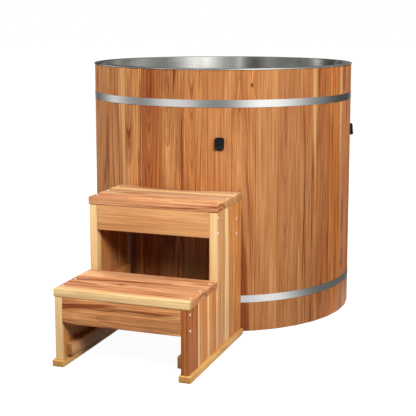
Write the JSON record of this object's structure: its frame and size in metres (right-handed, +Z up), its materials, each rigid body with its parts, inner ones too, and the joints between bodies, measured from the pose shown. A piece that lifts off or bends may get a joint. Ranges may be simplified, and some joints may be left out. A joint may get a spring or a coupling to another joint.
{
  "type": "cold plunge tub",
  "caption": "Round coopered cedar plunge tub with a steel liner and bands, cover latches, a drain tap and free-standing cedar steps.",
  "frame": {"origin": "on the tub's axis at floor level, under the middle joist", "axes": "+Z up; the steps stand towards -Y, so +Y runs from the steps through the tub to the drain behind"},
  "size_m": [1.0089, 1.5759, 0.94],
  "materials": {
    "stave_cedar": "planed cedar with clear oil, tone changing from stave to stave",
    "step_cedar": "planed cedar with eased edges",
    "runner_cedar": "pale planed softwood",
    "floor_timber": "sawn softwood",
    "liner_steel": "brushed stainless sheet",
    "band_steel": "brushed stainless strip",
    "bolt_steel": "bright stainless",
    "latch_plastic": "moulded black, satin",
    "lock_metal": "turned, black plated",
    "tap_brass": "cast and turned brass"
  },
  "bodies": {
    "tub": {"stave_pair_01": "stave_cedar", "stave_pair_02": "stave_cedar", "stave_pair_03": "stave_cedar", "stave_pair_04": "stave_cedar", "stave_pair_05": "stave_cedar", "stave_pair_06": "stave_cedar", "stave_pair_07": "stave_cedar", "stave_pair_08": "stave_cedar", "stave_pair_09": "stave_cedar", "stave_pair_10": "stave_cedar", "stave_pair_11": "stave_cedar", "stave_pair_12": "stave_cedar", "stave_pair_13": "stave_cedar", "stave_pair_14": "stave_cedar", "stave_pair_15": "stave_cedar", "stave_pair_16": "stave_cedar", "stave_pair_17": "stave_cedar", "stave_pair_18": "stave_cedar", "closing_stave": "stave_cedar", "floor_deck": "floor_timber", "front_joist": "floor_timber", "middle_joist": "floor_timber", "rear_joist": "floor_timber", "liner": "liner_steel", "upper_band": "band_steel", "upper_band_bolt": "bolt_steel", "lower_band": "band_steel", "lower_band_bolt": "bolt_steel", "cover_latch_1": "latch_plastic", "cover_latch_2": "latch_plastic", "cover_latch_3": "latch_plastic", "cover_latch_4": "latch_plastic", "drain_tap": "tap_brass", "drain_nut": "tap_brass"},
    "steps": {"lower_tread_board_1": "step_cedar", "lower_tread_board_2": "step_cedar", "lower_tread_board_3": "step_cedar", "upper_tread_board_1": "step_cedar", "upper_tread_board_2": "step_cedar", "upper_tread_board_3": "step_cedar", "left_short_side": "step_cedar", "left_tall_side": "step_cedar", "left_runner": "runner_cedar", "left_low_cleat": "step_cedar", "left_middle_cleat": "step_cedar", "left_top_cleat": "step_cedar", "right_short_side": "step_cedar", "right_tall_side": "step_cedar", "right_runner": "runner_cedar", "right_low_cleat": "step_cedar", "right_middle_cleat": "step_cedar", "right_top_cleat": "step_cedar", "lower_apron": "step_cedar", "upper_apron": "step_cedar", "rear_stretcher": "step_cedar"},
    "lock_1": {"latch_lock_1": "lock_metal"},
    "lock_2": {"latch_lock_2": "lock_metal"},
    "lock_3": {"latch_lock_3": "lock_metal"},
    "lock_4": {"latch_lock_4": "lock_metal"},
    "lever": {"drain_lever": "tap_brass"}
  },
  "joints": [
    {"name": "step_slide", "type": "slide", "parent": "tub", "child": "steps", "axis": [0, -1, 0], "range_m": [0, 0.5]},
    {"name": "lock_1_turn", "type": "hinge", "parent": "tub", "child": "lock_1", "pos_m": [0.15582, -0.48824, 0.667], "axis": [0.304, -0.9527, 0], "range_deg": [0, 90]},
    {"name": "lock_2_turn", "type": "hinge", "parent": "tub", "child": "lock_2", "pos_m": [0.49441, 0.13496, 0.667], "axis": [0.9647, 0.2633, 0], "range_deg": [0, 90]},
    {"name": "lock_3_turn", "type": "hinge", "parent": "tub", "child": "lock_3", "pos_m": [-0.11385, 0.49969, 0.667], "axis": [-0.2221, 0.975, 0], "range_deg": [0, 90]},
    {"name": "lock_4_turn", "type": "hinge", "parent": "tub", "child": "lock_4", "pos_m": [-0.50408, -0.09254, 0.667], "axis": [-0.9836, -0.1806, 0], "range_deg": [0, 90]},
    {"name": "lever_turn", "type": "hinge", "parent": "tub", "child": "lever", "pos_m": [-0.02928, 0.53971, 0.09], "axis": [0, 0, -1], "range_deg": [0, 90]}
  ]
}
